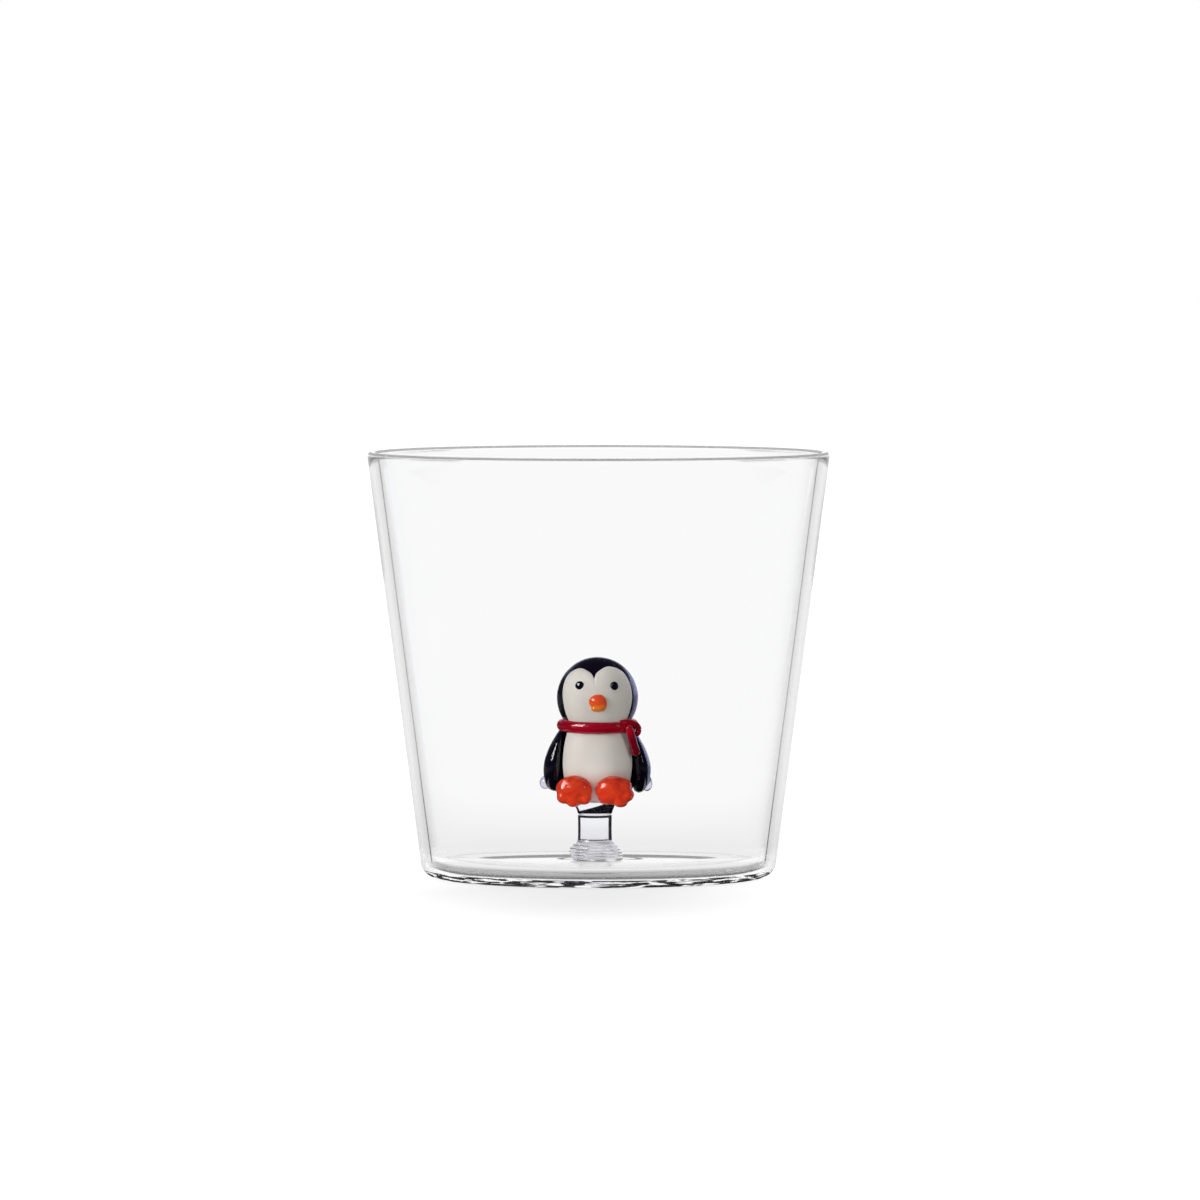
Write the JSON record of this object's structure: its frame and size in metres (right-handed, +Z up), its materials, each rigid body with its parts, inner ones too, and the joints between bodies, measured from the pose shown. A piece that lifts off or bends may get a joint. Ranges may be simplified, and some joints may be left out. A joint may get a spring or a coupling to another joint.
{
  "type": "drinking glass",
  "caption": "Clear flared glass tumbler with a small flame-worked glass penguin in a red scarf standing on a clear post fused to the inside of its floor.",
  "frame": {"origin": "centre of the tumbler's round base, on the plane it rests on", "axes": "+Z up along the tumbler's axis to the rim; the penguin faces -Y; +X is to the viewer's right when the penguin is seen from the front"},
  "size_m": [0.09, 0.09, 0.083],
  "materials": {
    "clear_glass": "clear blown glass, fire polished",
    "black_glass": "dense violet-black glass, glossy",
    "white_glass": "opaque warm white glass, glossy",
    "red_glass": "deep red glass, glossy",
    "orange_glass": "orange-red glass, glossy",
    "beak_glass": "orange glass, glossy"
  },
  "bodies": {
    "root": {"tumbler": "clear_glass", "post_base": "clear_glass", "post_stem": "clear_glass", "post_cap": "clear_glass", "left_drop": "clear_glass", "right_drop": "clear_glass", "body": "black_glass", "head": "black_glass", "left_wing": "black_glass", "right_wing": "black_glass", "left_eye": "black_glass", "right_eye": "black_glass", "belly": "white_glass", "face": "white_glass", "scarf_band": "red_glass", "scarf_curl": "red_glass", "scarf_tail": "red_glass", "left_foot": "orange_glass", "right_foot": "orange_glass", "beak": "beak_glass"}
  },
  "joints": []
}
